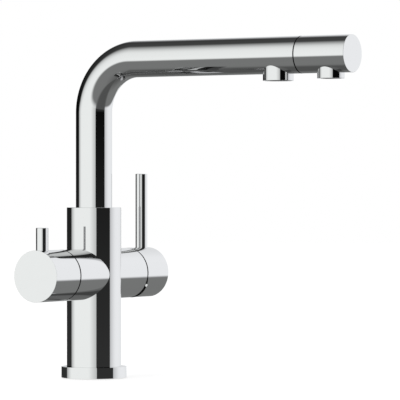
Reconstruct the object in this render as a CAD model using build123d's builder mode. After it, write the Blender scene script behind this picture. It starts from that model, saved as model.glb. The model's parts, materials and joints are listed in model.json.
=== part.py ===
from build123d import *
import os
from math import asin, cos, degrees, radians, sin, sqrt, tan

os.makedirs("parts", exist_ok=True)

# A four-way kitchen mixer tap: hot, cold and two kinds of filtered water.
# Millimetres. +Z is up from the deck, the spout points along +X, the filter valve
# lies along -Y and the mixer valve along +Y. The origin is on the column's axis,
# at the underside of the base ring.

# Fits
turning_fit = 0.05      # radial, between a turning piece and its bore
seat_gap = 0.02         # radial, between pieces that are pressed, screwed or brazed together
film_gap = 0.02         # between the two lapped faces of a pair of ceramic discs

# Column and base
column_d = 45.0
column_top = 140.5
base_ring_h = 9.0
base_ring_lip = 3.0     # round the deck seal
spigot_wall = 2.0       # of the column's turned end, inside the base ring
spigot_bottom = 1.5
deck_seal_w = 4.0
deck_seal_h = 2.5

# Inlet block, brazed up inside the column, and the cored ways above it
cavity_d = 36.0
block_bottom = 32.0
block_top = 60.0
port_thread_r = 4.46    # core of an M10x1 hose thread
port_thread_depth = 14.0
stud_thread_r = 3.4     # core of an M8 fixing stud's thread
stud_thread_depth = 18.0
port_circle_r = 10.5
way_w = 5.0             # side of the square ways that are cored in the brass

# Side barrels
valve_z = 85.3
barrel_d = 42.0
rim = 49.0              # from the column's axis to a barrel's open rim
seam = 1.0              # from that rim to the handle
seat = 13.0             # from the column's axis to a cartridge's seat

# Swivel
tube_d = 30.0
tube_wall = 1.5
swivel_floor = 112.0
swivel_range = 75.0     # degrees to either side
swivel_seal_w = 3.4
swivel_seal_h = 3.0
nipple_collar_top = 130.0
nipple_top = 146.0
nipple_bore_r = 9.5
stop_screw_r = 2.5
stop_screw_z = 125.1
stop_screw_head = 21.4  # from the column's axis to the screw's outer end
stop_groove_depth = 3.0
stop_play = 2.0         # degrees left over at either end of the swivel
hex_key_r = 1.45        # across the corners of a grub screw's socket, halved
hex_key_depth = 3.0

# Spout
spout_z = 262.4
bend_r = 43.5
tube_end = 199.6
head_gap = 0.8          # the fine dark line between the tube and the head
head_end = 245.5
head_end_wall = 4.0
connector_length = 20.0

# Inner hose for filtered water
hose_r = 4.0
socket_floor = 104.0
plug_r = 5.0
plug_bore_r = 2.5
plug_length = 16.0
hose_socket_depth = 6.0

# Outlets: the mixed one hangs from the tube, the filtered one from the head
mixer_outlet_x = 177.7
mixer_outlet_d = 24.6
mixer_outlet_drop = 20.4    # from the spout's axis down to the outlet's edge
mixer_outlet_wall = 1.55
filter_outlet_x = 226.0
filter_outlet_d = 21.7
filter_outlet_drop = 19.4
filter_outlet_wall = 2.35
outlet_top_drop = 8.5   # from the spout's axis down to where both collars start
insert_recess = 0.5     # from a collar's lower edge up to its insert
insert_rim = 1.1
insert_h = 5.0
grille_recess = 0.8     # from an insert's rim up to its honeycomb
cell_r = 1.25
cell_pitch = 2.9

# Mixer valve: distances along the barrel are from the column's axis
mixer_end = 81.6
mixer_lever_y = 71.35
mixer_lever_top = 168.6
mixer_pocket_r = 18.0
gasket_h = 1.2
cartridge_r = 17.5
cartridge_base_h = 2.8
peg_w = 3.0
peg_x = 14.0
peg_length = 3.5
peg_fit = 0.1
mixer_port_inner = 4.6  # the inlet ports are pieces of a ring, as is the outlet
mixer_port_outer = 8.9
mixer_port_arc = 44.0
mixer_port_angle = 42.0
mixer_outlet_inner = 2.4
mixer_outlet_outer = 7.0
mixer_outlet_arc = 70.0
mixed_way_y = 8.6
fixed_disc_r = 15.0
moving_disc_r = 11.5
disc_h = 3.5
chamber_depth = 1.8
chamber_r = 4.4         # closed, the chamber stays inside the ring of the inlets
chamber_slot_w = 5.0
chamber_slot_end = 9.5
driver_side = 16.0
driver_h = 5.0
slide_fit = 0.1
cheek_w = 3.8
cheek_h = 16.4
disc_cavity_r = 16.0
carrier_start = 30.0
carrier_r = 14.9
carrier_plate_h = 6.0
carrier_shoulder = 38.5
carrier_waist_r = 12.5
neck_r = 10.0
neck_end = 47.0
pivot_y = 42.0
pivot_pin_r = 1.5
pivot_pin_length = 19.0
spindle_w = 7.0
spindle_arm_h = 4.0
spindle_hub_r = 4.5
spindle_end = 71.5
tip_r = 3.0
slot_below = 5.5
slot_above = 6.5
temperature_range = 45.0
cover_rim = 49.4        # where the cover nut leaves the barrel's mouth
cover_front_r = 10.5
cover_corner_r = 15.6
relief_angle = 16.0     # slope of the handle's lower rim, which lets it tilt
mixer_cavity_end = 62.0
mixer_screw_y = 66.5

# Filter valve
filter_end = 83.6
filter_lever_y = 74.2
filter_lever_top = 124.4
filter_pocket_r = 13.0
filter_disc_r = 11.5
filter_port_inner = 5.0
filter_port_outer = 9.0
filter_port_arc = 30.0
filter_inlet_angle = 37.0
groove_depth = 1.8
groove_arc = 200.0
filter_foot_r = 9.0
filter_foot_h = 4.5
stem_r = 5.0
stem_end = 47.0
filter_square = 7.0
filter_square_end = 69.5
headwork_shoulder = 34.0
headwork_end = 40.0
headwork_hex_r = 11.0
filter_range = 90.0     # degrees to either side of closed
filter_cavity_end = 60.0
filter_screw_y = 65.0

# Levers and turning stops
lever_d = 10.0
lever_seat = 9.0        # from the valve's axis to the blind end of the lever's hole
handle_cavity_r = 18.5
handle_screw_r = 2.5
handle_screw_recess = 3.0
lug_arc = 60.0          # degrees that a turning stop's lug spans
stop_arc_play = 1.5     # degrees left over at either end of a valve's turn

# Radii that follow from the diameters above
column_r = column_d / 2
barrel_r = barrel_d / 2
tube_r = tube_d / 2
tube_inner_r = tube_r - tube_wall
swivel_bore_r = tube_r + turning_fit
cavity_r = cavity_d / 2
spigot_r = cavity_r + spigot_wall
deck_seal_r = spigot_r + deck_seal_w
base_ring_r = deck_seal_r + base_ring_lip
handle_start = rim + seam
port_offset = port_circle_r / sqrt(2)
mixer_outlet_r = mixer_outlet_d / 2
filter_outlet_r = filter_outlet_d / 2
mixer_outlet_bottom = spout_z - mixer_outlet_drop
filter_outlet_bottom = spout_z - filter_outlet_drop
outlet_top = spout_z - outlet_top_drop
head_start = tube_end + head_gap
connector_start = (tube_end + head_start - connector_length) / 2
connector_end = connector_start + connector_length
nipple_start = swivel_floor + swivel_seal_h
plug_socket_r = plug_r + turning_fit
plug_bottom = socket_floor + slide_fit
plug_top = plug_bottom + plug_length
hose_start = plug_top - hose_socket_depth

# Stations along the mixer cartridge
cartridge_base = seat + gasket_h
fixed_disc_y = cartridge_base + cartridge_base_h
moving_disc_y = fixed_disc_y + disc_h + film_gap
driver_y = moving_disc_y + disc_h
driver_end = driver_y + driver_h
carrier_waist = carrier_start + carrier_plate_h
cover_start = carrier_shoulder + 2 * slide_fit
tip_y = driver_y + tip_r + 2 * slide_fit

# The cover nut's slope stays inside the ball of this radius round the pivot, which the
# handle's rim clears as it tilts.
cover_ball_r = sqrt((cover_rim - pivot_y) ** 2 + (mixer_pocket_r - seat_gap) ** 2)
cover_corner = pivot_y + sqrt(cover_ball_r**2 - cover_corner_r**2)
cover_front = pivot_y + sqrt(cover_ball_r**2 - cover_front_r**2)

# Stations along the filter cartridge
filter_fixed_y = seat + gasket_h
filter_moving_y = filter_fixed_y + disc_h + film_gap
filter_foot_y = filter_moving_y + disc_h
filter_foot_end = filter_foot_y + filter_foot_h

# Each profile plane has its first direction along an axis of turning and its second
# along the radius, so that a turned piece is drawn as a lathe would cut it.
column_profile = Plane(origin=(0, 0, 0), x_dir=(0, 0, 1), z_dir=(0, 1, 0))
mixer_profile = Plane(origin=(0, 0, valve_z), x_dir=(0, 1, 0), z_dir=(1, 0, 0))
filter_profile = Plane(origin=(0, 0, valve_z), x_dir=(0, -1, 0), z_dir=(-1, 0, 0))
head_profile = Plane(origin=(0, 0, spout_z), x_dir=(1, 0, 0), z_dir=(0, -1, 0))
mixer_axis = Axis((0, 0, valve_z), (0, 1, 0))
filter_axis = Axis((0, 0, valve_z), (0, -1, 0))
head_axis = Axis((0, 0, spout_z), (1, 0, 0))


def mixer_plane(distance):
    """Across the mixer barrel at a distance from the column, facing out, second direction up."""
    return Plane(origin=(0, distance, valve_z), x_dir=(-1, 0, 0), z_dir=(0, 1, 0))


def filter_plane(distance):
    """Across the filter barrel at a distance from the column, facing out, second direction up."""
    return Plane(origin=(0, -distance, valve_z), x_dir=(1, 0, 0), z_dir=(0, -1, 0))


def outlet_profile(x):
    """Profile plane of an outlet that hangs under the spout at x."""
    return Plane(origin=(x, 0, 0), x_dir=(0, 0, 1), z_dir=(0, 1, 0))


def outlet_axis(x):
    """Axis of an outlet that hangs under the spout at x."""
    return Axis((x, 0, 0), (0, 0, 1))


def band(start, end, inner, outer, mode=Mode.ADD):
    """One step of a turned profile, from start to end along the axis, inner to outer radius."""
    with Locations(((start + end) / 2, (inner + outer) / 2)):
        Rectangle(end - start, outer - inner, mode=mode)


def sector(inner, outer, middle, arc):
    """A flat piece of a ring, centred on the middle direction and spanning arc degrees."""
    first, last = middle - arc / 2, middle + arc / 2
    corners = [(outer, first), (outer, last), (inner, last), (inner, first)]
    a, b, c, d = [(r * cos(radians(t)), r * sin(radians(t))) for r, t in corners]
    with BuildSketch() as piece:
        with BuildLine():
            CenterArc((0, 0), outer, first, arc)
            Line(b, c)
            CenterArc((0, 0), inner, first, arc)
            Line(d, a)
        make_face()
    return piece.sketch


def stop_arc(travel):
    """Arc of the fixed stop that lets a lug turn by travel degrees to either side."""
    return 360 - lug_arc - 2 * (travel + stop_arc_play)


def inlet_arcs(inner, outer, angle, arc):
    """Two ports, alike on either side of the valve's upright line."""
    return sector(inner, outer, angle, arc) + sector(inner, outer, 180 - angle, arc)


hose_ports = [(x, y) for x in (-port_offset, port_offset) for y in (-port_offset, port_offset)]
mixer_inlets = inlet_arcs(mixer_port_inner, mixer_port_outer, mixer_port_angle, mixer_port_arc)
mixer_outlet = sector(mixer_outlet_inner, mixer_outlet_outer, -90, mixer_outlet_arc)
filter_inlets = inlet_arcs(filter_port_inner, filter_port_outer, -filter_inlet_angle, filter_port_arc)
filter_outlet = sector(filter_port_inner, filter_port_outer, 90, filter_port_arc)
mixer_inlet_z = (mixer_port_inner + mixer_port_outer) / 2 * sin(radians(mixer_port_angle))
filter_inlet_z = -(filter_port_inner + filter_port_outer) / 2 * sin(radians(filter_inlet_angle))
mixer_outlet_z = -(mixer_outlet_inner + mixer_outlet_outer) / 2
filter_outlet_z = (filter_port_inner + filter_port_outer) / 2

# Base

# Base ring: the Ø54 foot that spreads the clamp load on the deck
with BuildPart() as base_ring:
    with BuildSketch(column_profile):
        band(0, base_ring_h, spigot_r + seat_gap, base_ring_r)
        band(0, deck_seal_h, spigot_r, deck_seal_r, mode=Mode.SUBTRACT)
    revolve(axis=Axis.Z)
base_ring.part.label = "base_ring"
export_step(base_ring.part, "parts/base_ring.step")

# Rubber ring in the base ring's underside, flush with it once clamped
with BuildPart() as deck_seal:
    with BuildSketch(column_profile):
        band(0, deck_seal_h, spigot_r + seat_gap, deck_seal_r - seat_gap)
    revolve(axis=Axis.Z)
deck_seal.part.label = "deck_seal"
export_step(deck_seal.part, "parts/deck_seal.step")

# Column

# Column and its two side barrels: one brass casting with its ways cored inside
with BuildPart() as body_housing:
    with BuildSketch(column_profile):
        band(base_ring_h, column_top, 0, column_r)
        band(spigot_bottom, base_ring_h, 0, spigot_r)
    revolve(axis=Axis.Z)
    with BuildSketch(mixer_profile):
        band(-rim, rim, 0, barrel_r)
    revolve(axis=mixer_axis)
    with BuildSketch(column_profile):
        band(spigot_bottom, block_top, 0, cavity_r)
        band(swivel_floor, column_top, 0, swivel_bore_r)
        band(socket_floor, swivel_floor, 0, plug_socket_r)
    revolve(axis=Axis.Z, mode=Mode.SUBTRACT)
    with BuildSketch(mixer_profile):
        band(seat, rim, 0, mixer_pocket_r)
    revolve(axis=mixer_axis, mode=Mode.SUBTRACT)
    with BuildSketch(filter_profile):
        band(seat, rim, 0, filter_pocket_r)
    revolve(axis=filter_axis, mode=Mode.SUBTRACT)
    # Four ways rise from the inlet block: hot and cold on the mixer's side
    for x, y in hose_ports:
        way_top = valve_z + way_w / 2 + (mixer_inlet_z if y > 0 else filter_inlet_z)
        with BuildSketch(Plane.XY.offset(block_top)):
            with Locations((x, y)):
                Rectangle(way_w, way_w)
        extrude(amount=way_top - block_top, mode=Mode.SUBTRACT)
    # The mixer's inlet ports meet two of them, and its outlet leads to the swivel chamber
    with BuildSketch(mixer_plane(seat)):
        add(mixer_inlets)
    extrude(amount=port_offset - seat, mode=Mode.SUBTRACT)
    with BuildSketch(mixer_plane(seat)):
        add(mixer_outlet)
    extrude(amount=mixed_way_y - way_w / 2 - seat, mode=Mode.SUBTRACT)
    with BuildSketch(Plane.XY.offset(swivel_floor)):
        with Locations((0, mixed_way_y)):
            Rectangle(way_w, way_w)
    extrude(amount=valve_z + mixer_outlet_z - way_w / 2 - swivel_floor, mode=Mode.SUBTRACT)
    with BuildSketch(mixer_plane(seat)):
        with Locations((-peg_x, 0), (peg_x, 0)):
            Rectangle(peg_w + 2 * peg_fit, peg_w + 2 * peg_fit)
    extrude(amount=-peg_length - peg_fit, mode=Mode.SUBTRACT)
    # The filter's inlet ports meet the other two, and its outlet leads up to the hose's plug
    with BuildSketch(filter_plane(seat)):
        add(filter_inlets)
    extrude(amount=port_offset - seat, mode=Mode.SUBTRACT)
    with BuildSketch(filter_plane(seat)):
        add(filter_outlet)
    extrude(amount=-seat - way_w / 2, mode=Mode.SUBTRACT)
    with BuildSketch(Plane.XY.offset(socket_floor)):
        Rectangle(way_w, way_w)
    extrude(amount=valve_z + filter_outlet_z - socket_floor, mode=Mode.SUBTRACT)
    # Threaded hole at the back for the screw that keeps the spout in
    with BuildSketch(Plane.YZ.offset(-column_r)):
        with Locations((0, stop_screw_z)):
            Circle(stop_screw_r + seat_gap)
    extrude(amount=column_r - tube_r + stop_groove_depth, mode=Mode.SUBTRACT)
body_housing.part.label = "body_housing"
export_step(body_housing.part, "parts/body_housing.step")

# Inlet block: four hose threads round a central thread for the fixing stud
with BuildPart() as inlet_block:
    with BuildSketch(column_profile):
        band(block_bottom, block_top, 0, cavity_r - seat_gap)
        band(block_bottom, block_bottom + stud_thread_depth, 0, stud_thread_r, mode=Mode.SUBTRACT)
    revolve(axis=Axis.Z)
    with BuildSketch(Plane.XY.offset(block_bottom)):
        with Locations(*hose_ports):
            Circle(port_thread_r)
    extrude(amount=port_thread_depth, mode=Mode.SUBTRACT)
    with BuildSketch(Plane.XY.offset(block_top)):
        with Locations(*hose_ports):
            Rectangle(way_w, way_w)
    extrude(amount=block_bottom - block_top, mode=Mode.SUBTRACT)
inlet_block.part.label = "inlet_block"
export_step(inlet_block.part, "parts/inlet_block.step")

# Swivel

# Sliding ring at the swivel's floor: it carries the spout and seals it
with BuildPart() as swivel_seal:
    with BuildSketch(column_profile):
        band(swivel_floor, nipple_start, tube_r - swivel_seal_w, tube_r)
    revolve(axis=Axis.Z)
swivel_seal.part.label = "swivel_seal"
export_step(swivel_seal.part, "parts/swivel_seal.step")

# Screw whose tip runs in the nipple's groove: it holds the spout in and stops its swing
with BuildPart() as stop_screw:
    with BuildSketch(Plane.YZ.offset(-stop_screw_head)):
        with Locations((0, stop_screw_z)):
            Circle(stop_screw_r)
    extrude(amount=stop_screw_head - tube_r + stop_groove_depth - 2 * slide_fit)
    with BuildSketch(Plane.YZ.offset(-stop_screw_head)):
        with Locations((0, stop_screw_z)):
            RegularPolygon(hex_key_r, 6)
    extrude(amount=hex_key_depth, mode=Mode.SUBTRACT)
stop_screw.part.label = "stop_screw"
export_step(stop_screw.part, "parts/stop_screw.step")

# Brass nipple, brazed into the tube's foot, that turns in the column
stop_half = degrees(asin((stop_screw_r + slide_fit) / (tube_r - stop_groove_depth)))
groove_half = swivel_range + stop_half + stop_play
with BuildPart() as swivel_nipple:
    with BuildSketch(column_profile):
        band(nipple_start, nipple_collar_top, nipple_bore_r, tube_r)
        band(nipple_collar_top, nipple_top, nipple_bore_r, tube_inner_r - seat_gap)
    revolve(axis=Axis.Z)
    with BuildSketch(Plane.XY.offset(stop_screw_z - stop_screw_r - slide_fit)):
        add(sector(tube_r - stop_groove_depth, tube_r + seam, 180, 2 * groove_half))
    extrude(amount=2 * (stop_screw_r + slide_fit), mode=Mode.SUBTRACT)
swivel_nipple.part.label = "swivel_nipple"
export_step(swivel_nipple.part, "parts/swivel_nipple.step")

# Spout

# Tube: up from the column, round one bend and level to the head
with BuildPart() as spout_tube:
    with BuildLine() as tube_path:
        rise = Line((0, 0, nipple_collar_top), (0, 0, spout_z - bend_r))
        turn = TangentArc(rise @ 1, (bend_r, 0, spout_z), tangent=rise % 1)
        Line(turn @ 1, (tube_end, 0, spout_z))
    with BuildSketch(Plane.XY.offset(nipple_collar_top)):
        Circle(tube_r)
        Circle(tube_inner_r, mode=Mode.SUBTRACT)
    sweep(path=tube_path.wire())
    with BuildSketch(Plane.XY.offset(mixer_outlet_bottom)):
        with Locations((mixer_outlet_x, 0)):
            Circle(mixer_outlet_r + seat_gap)
    extrude(amount=spout_z - mixer_outlet_bottom, mode=Mode.SUBTRACT)
spout_tube.part.label = "spout_tube"
export_step(spout_tube.part, "parts/spout_tube.step")

# Plug between the tube and the head, which lets only the inner hose through
with BuildPart() as head_connector:
    with BuildSketch(head_profile):
        band(connector_start, connector_end, hose_r + seat_gap, tube_inner_r - seat_gap)
    revolve(axis=head_axis)
head_connector.part.label = "head_connector"
export_step(head_connector.part, "parts/head_connector.step")

# Head: the closed end of the spout, fed by the inner hose alone
with BuildPart() as spout_head:
    with BuildSketch(head_profile):
        band(head_start, head_end, 0, tube_r)
        band(head_start, head_end - head_end_wall, 0, tube_inner_r, mode=Mode.SUBTRACT)
    revolve(axis=head_axis)
    with BuildSketch(Plane.XY.offset(filter_outlet_bottom)):
        with Locations((filter_outlet_x, 0)):
            Circle(filter_outlet_r + seat_gap)
    extrude(amount=spout_z - filter_outlet_bottom, mode=Mode.SUBTRACT)
spout_head.part.label = "spout_head"
export_step(spout_head.part, "parts/spout_head.step")

# Inner hose for filtered water along the tube's own line, drawn without its fine bore
with BuildPart() as filter_hose:
    with BuildLine() as hose_path:
        hose_rise = Line((0, 0, hose_start), (0, 0, spout_z - bend_r))
        hose_turn = TangentArc(hose_rise @ 1, (bend_r, 0, spout_z), tangent=hose_rise % 1)
        Line(hose_turn @ 1, (connector_end, 0, spout_z))
    with BuildSketch(Plane.XY.offset(hose_start)):
        Circle(hose_r)
    sweep(path=hose_path.wire())
filter_hose.part.label = "filter_hose"
export_step(filter_hose.part, "parts/filter_hose.step")

# Brass plug on the hose's lower end, which turns in the column's central socket
with BuildPart() as hose_plug:
    with BuildSketch(column_profile):
        band(plug_bottom, plug_top, plug_bore_r, plug_r)
        band(hose_start, plug_top, 0, hose_r + seat_gap, mode=Mode.SUBTRACT)
    revolve(axis=Axis.Z)
hose_plug.part.label = "hose_plug"
export_step(hose_plug.part, "parts/hose_plug.step")

# Outlets: each a brazed collar with a screwed insert, whose face is a honeycomb
with BuildPart() as mixer_outlet_collar:
    with BuildSketch(outlet_profile(mixer_outlet_x)):
        band(mixer_outlet_bottom, outlet_top, mixer_outlet_r - mixer_outlet_wall, mixer_outlet_r)
    revolve(axis=outlet_axis(mixer_outlet_x))
mixer_outlet_collar.part.label = "mixer_outlet_collar"
export_step(mixer_outlet_collar.part, "parts/mixer_outlet_collar.step")

with BuildPart() as filter_outlet_collar:
    with BuildSketch(outlet_profile(filter_outlet_x)):
        band(filter_outlet_bottom, outlet_top, filter_outlet_r - filter_outlet_wall, filter_outlet_r)
    revolve(axis=outlet_axis(filter_outlet_x))
filter_outlet_collar.part.label = "filter_outlet_collar"
export_step(filter_outlet_collar.part, "parts/filter_outlet_collar.step")

# Aerator of the mixed outlet, with nineteen whole cells
aerator_r = mixer_outlet_r - mixer_outlet_wall - seat_gap
aerator_bottom = mixer_outlet_bottom + insert_recess
with BuildPart() as mixer_aerator:
    with BuildSketch(outlet_profile(mixer_outlet_x)):
        band(aerator_bottom, aerator_bottom + insert_h, 0, aerator_r)
        band(aerator_bottom, aerator_bottom + grille_recess, 0, aerator_r - insert_rim, mode=Mode.SUBTRACT)
    revolve(axis=outlet_axis(mixer_outlet_x))
    with BuildSketch(Plane.XY.offset(aerator_bottom)) as aerator_cells:
        with Locations((mixer_outlet_x, 0)):
            RegularPolygon(cell_r, 6)
            for ring_r in (cell_pitch, 2 * cell_pitch):
                with PolarLocations(ring_r, 6, start_angle=30):
                    RegularPolygon(cell_r, 6)
            with PolarLocations(sqrt(3) * cell_pitch, 6):
                RegularPolygon(cell_r, 6)
    extrude(amount=insert_h, mode=Mode.SUBTRACT)
mixer_aerator.part.label = "mixer_aerator"
export_step(mixer_aerator.part, "parts/mixer_aerator.step")

# Flow straightener of the filtered outlet, with seven
straightener_r = filter_outlet_r - filter_outlet_wall - seat_gap
straightener_bottom = filter_outlet_bottom + insert_recess
with BuildPart() as filter_straightener:
    with BuildSketch(outlet_profile(filter_outlet_x)):
        band(straightener_bottom, straightener_bottom + insert_h, 0, straightener_r)
        band(
            straightener_bottom,
            straightener_bottom + grille_recess,
            0,
            straightener_r - insert_rim,
            mode=Mode.SUBTRACT,
        )
    revolve(axis=outlet_axis(filter_outlet_x))
    with BuildSketch(Plane.XY.offset(straightener_bottom)):
        with Locations((filter_outlet_x, 0)):
            RegularPolygon(cell_r, 6)
            with PolarLocations(cell_pitch, 6, start_angle=30):
                RegularPolygon(cell_r, 6)
    extrude(amount=insert_h, mode=Mode.SUBTRACT)
filter_straightener.part.label = "filter_straightener"
export_step(filter_straightener.part, "parts/filter_straightener.step")

# Mixer cartridge, fixed pieces

# Rubber gasket on the seat, with the three ports and room for the cartridge's pegs
with BuildPart() as mixer_gasket:
    with BuildSketch(mixer_plane(seat)):
        Circle(cartridge_r)
        with Locations((-peg_x, 0), (peg_x, 0)):
            Rectangle(peg_w + 2 * peg_fit, peg_w + 2 * peg_fit, mode=Mode.SUBTRACT)
        add(mixer_inlets, mode=Mode.SUBTRACT)
        add(mixer_outlet, mode=Mode.SUBTRACT)
    extrude(amount=gasket_h)
mixer_gasket.part.label = "mixer_gasket"
export_step(mixer_gasket.part, "parts/mixer_gasket.step")

# Cartridge body: a cup for the discs and the carrier, keyed to the seat by two pegs,
# with a stop for the carrier's lug
with BuildPart() as mixer_cartridge_body:
    with BuildSketch(mixer_profile):
        band(cartridge_base, cover_start, 0, cartridge_r)
        band(fixed_disc_y, fixed_disc_y + disc_h, 0, fixed_disc_r + seat_gap, mode=Mode.SUBTRACT)
        band(fixed_disc_y + disc_h, carrier_start - slide_fit, 0, disc_cavity_r, mode=Mode.SUBTRACT)
        band(carrier_start - slide_fit, carrier_waist + slide_fit, 0, carrier_r + turning_fit, mode=Mode.SUBTRACT)
        band(carrier_waist + slide_fit, cover_start, 0, carrier_waist_r + slide_fit, mode=Mode.SUBTRACT)
    revolve(axis=mixer_axis)
    with BuildSketch(mixer_plane(carrier_waist + slide_fit)):
        add(sector(carrier_waist_r, carrier_r + turning_fit, 90, 360 - stop_arc(temperature_range)))
    extrude(amount=cover_start - carrier_waist - slide_fit, mode=Mode.SUBTRACT)
    with BuildSketch(mixer_plane(cartridge_base)):
        add(mixer_inlets)
        add(mixer_outlet)
    extrude(amount=cartridge_base_h, mode=Mode.SUBTRACT)
    with BuildSketch(mixer_plane(cartridge_base)):
        with Locations((-peg_x, 0), (peg_x, 0)):
            Rectangle(peg_w, peg_w)
    extrude(amount=-gasket_h - peg_length)
mixer_cartridge_body.part.label = "mixer_cartridge_body"
export_step(mixer_cartridge_body.part, "parts/mixer_cartridge_body.step")

# Fixed ceramic disc, with the hot, the cold and the mixed port
with BuildPart() as mixer_fixed_disc:
    with BuildSketch(mixer_plane(fixed_disc_y)):
        Circle(fixed_disc_r)
        add(mixer_inlets, mode=Mode.SUBTRACT)
        add(mixer_outlet, mode=Mode.SUBTRACT)
    extrude(amount=disc_h)
mixer_fixed_disc.part.label = "mixer_fixed_disc"
export_step(mixer_fixed_disc.part, "parts/mixer_fixed_disc.step")

# Chromed cover nut: it clamps the cartridge, keeps the carrier in and closes the
# barrel's mouth with a slope that follows the handle's tilt
with BuildPart() as mixer_cover_nut:
    with BuildSketch(mixer_profile):
        Polygon(
            (cover_start, neck_r + 2 * slide_fit),
            (cover_start, mixer_pocket_r - seat_gap),
            (cover_rim, mixer_pocket_r - seat_gap),
            (cover_corner, cover_corner_r),
            (cover_front, cover_front_r),
            (cover_front, neck_r + 2 * slide_fit),
            align=None,
        )
    revolve(axis=mixer_axis)
mixer_cover_nut.part.label = "mixer_cover_nut"
export_step(mixer_cover_nut.part, "parts/mixer_cover_nut.step")

# Mixer cartridge, moving pieces

# Carrier: turned by the handle, it takes the disc's driver round between its cheeks
with BuildPart() as mixer_carrier:
    with BuildSketch(mixer_profile):
        band(carrier_start, carrier_waist, 0, carrier_r)
        band(carrier_waist, carrier_shoulder, 0, carrier_waist_r)
        band(carrier_shoulder, neck_end, 0, neck_r)
    revolve(axis=mixer_axis)
    with BuildSketch(mixer_plane(carrier_waist)):
        add(sector((neck_r + carrier_waist_r) / 2, carrier_r, 90, lug_arc))
    extrude(amount=carrier_shoulder - carrier_waist)
    cheek_x = driver_side / 2 + slide_fit + cheek_w / 2
    with BuildSketch(mixer_plane(carrier_start)):
        with Locations((-cheek_x, 0), (cheek_x, 0)):
            Rectangle(cheek_w, cheek_h)
    extrude(amount=driver_y + slide_fit - carrier_start)
    with BuildSketch(mixer_plane(driver_y)):
        with Locations((0, (slot_above - slot_below) / 2)):
            Rectangle(spindle_w + 2 * turning_fit, slot_above + slot_below)
    extrude(amount=neck_end - driver_y, mode=Mode.SUBTRACT)
    with BuildSketch(Plane.YZ):
        with Locations((pivot_y, valve_z)):
            Circle(pivot_pin_r + seat_gap)
    extrude(amount=carrier_r, both=True, mode=Mode.SUBTRACT)
mixer_carrier.part.label = "mixer_carrier"
export_step(mixer_carrier.part, "parts/mixer_carrier.step")

# Steel pin across the carrier's neck, on which the spindle tilts
with BuildPart() as mixer_pivot_pin:
    with BuildSketch(Plane.YZ):
        with Locations((pivot_y, valve_z)):
            Circle(pivot_pin_r)
    extrude(amount=pivot_pin_length / 2, both=True)
mixer_pivot_pin.part.label = "mixer_pivot_pin"
export_step(mixer_pivot_pin.part, "parts/mixer_pivot_pin.step")

# Moving ceramic disc: closed, its chamber lies within the ring of the inlets
with BuildPart() as mixer_moving_disc:
    with BuildSketch(mixer_plane(moving_disc_y)):
        Circle(moving_disc_r)
    extrude(amount=disc_h)
    with BuildSketch(mixer_plane(moving_disc_y)):
        Circle(chamber_r)
        with Locations((0, -chamber_slot_end / 2)):
            Rectangle(chamber_slot_w, chamber_slot_end)
    extrude(amount=chamber_depth, mode=Mode.SUBTRACT)
mixer_moving_disc.part.label = "mixer_moving_disc"
export_step(mixer_moving_disc.part, "parts/mixer_moving_disc.step")

# Plastic driver clipped on the moving disc, with a slot for the spindle's tip
with BuildPart() as mixer_disc_driver:
    with BuildSketch(mixer_plane(driver_y)):
        Rectangle(driver_side, driver_side)
        Rectangle(spindle_w + 2 * slide_fit, 2 * (tip_r + slide_fit), mode=Mode.SUBTRACT)
    extrude(amount=driver_h)
mixer_disc_driver.part.label = "mixer_disc_driver"
export_step(mixer_disc_driver.part, "parts/mixer_disc_driver.step")

# Steel spindle, cut from bar: rounded tip, arm, hub round the pin and a square end
with BuildPart() as mixer_spindle:
    with BuildSketch(mixer_profile):
        with Locations((tip_y, 0)):
            Circle(tip_r)
        band(tip_y, pivot_y, -spindle_arm_h / 2, spindle_arm_h / 2)
        with Locations((pivot_y, 0)):
            Circle(spindle_hub_r)
        band(pivot_y, spindle_end, -spindle_w / 2, spindle_w / 2)
        with Locations((pivot_y, 0)):
            Circle(pivot_pin_r + turning_fit, mode=Mode.SUBTRACT)
    extrude(amount=spindle_w / 2, both=True)
mixer_spindle.part.label = "mixer_spindle"
export_step(mixer_spindle.part, "parts/mixer_spindle.step")

# Mixer handle

# Handle: a deep cap whose lower rim slopes away so that it can tilt outwards
with BuildPart() as mixer_handle:
    with BuildSketch(mixer_profile):
        band(handle_start, mixer_end, 0, barrel_r)
        band(handle_start, mixer_cavity_end, 0, handle_cavity_r, mode=Mode.SUBTRACT)
    revolve(axis=mixer_axis)
    relief_drop = barrel_r + seam
    with BuildSketch(mixer_profile):
        Polygon(
            (handle_start, 0),
            (handle_start - seam, 0),
            (handle_start - seam, -relief_drop),
            (handle_start + relief_drop * tan(radians(relief_angle)), -relief_drop),
            align=None,
        )
    extrude(amount=relief_drop, both=True, mode=Mode.SUBTRACT)
    with BuildSketch(mixer_plane(mixer_cavity_end)):
        Rectangle(spindle_w + 2 * seat_gap, spindle_w + 2 * seat_gap)
    extrude(amount=spindle_end + slide_fit - mixer_cavity_end, mode=Mode.SUBTRACT)
    with BuildSketch(Plane.XY.offset(valve_z + lever_seat)):
        with Locations((0, mixer_lever_y)):
            Circle(lever_d / 2 + seat_gap)
    extrude(amount=barrel_r, mode=Mode.SUBTRACT)
    with BuildSketch(Plane.XY.offset(valve_z - barrel_r)):
        with Locations((0, mixer_screw_y)):
            Circle(handle_screw_r + seat_gap)
    extrude(amount=barrel_r - spindle_w / 2, mode=Mode.SUBTRACT)
mixer_handle.part.label = "mixer_handle"
export_step(mixer_handle.part, "parts/mixer_handle.step")

# Long lever, screwed into the top of the mixer handle
with BuildPart() as mixer_lever:
    with BuildSketch(Plane.XY.offset(valve_z + lever_seat)):
        with Locations((0, mixer_lever_y)):
            Circle(lever_d / 2)
    extrude(amount=mixer_lever_top - valve_z - lever_seat)
mixer_lever.part.label = "mixer_lever"
export_step(mixer_lever.part, "parts/mixer_lever.step")

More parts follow.
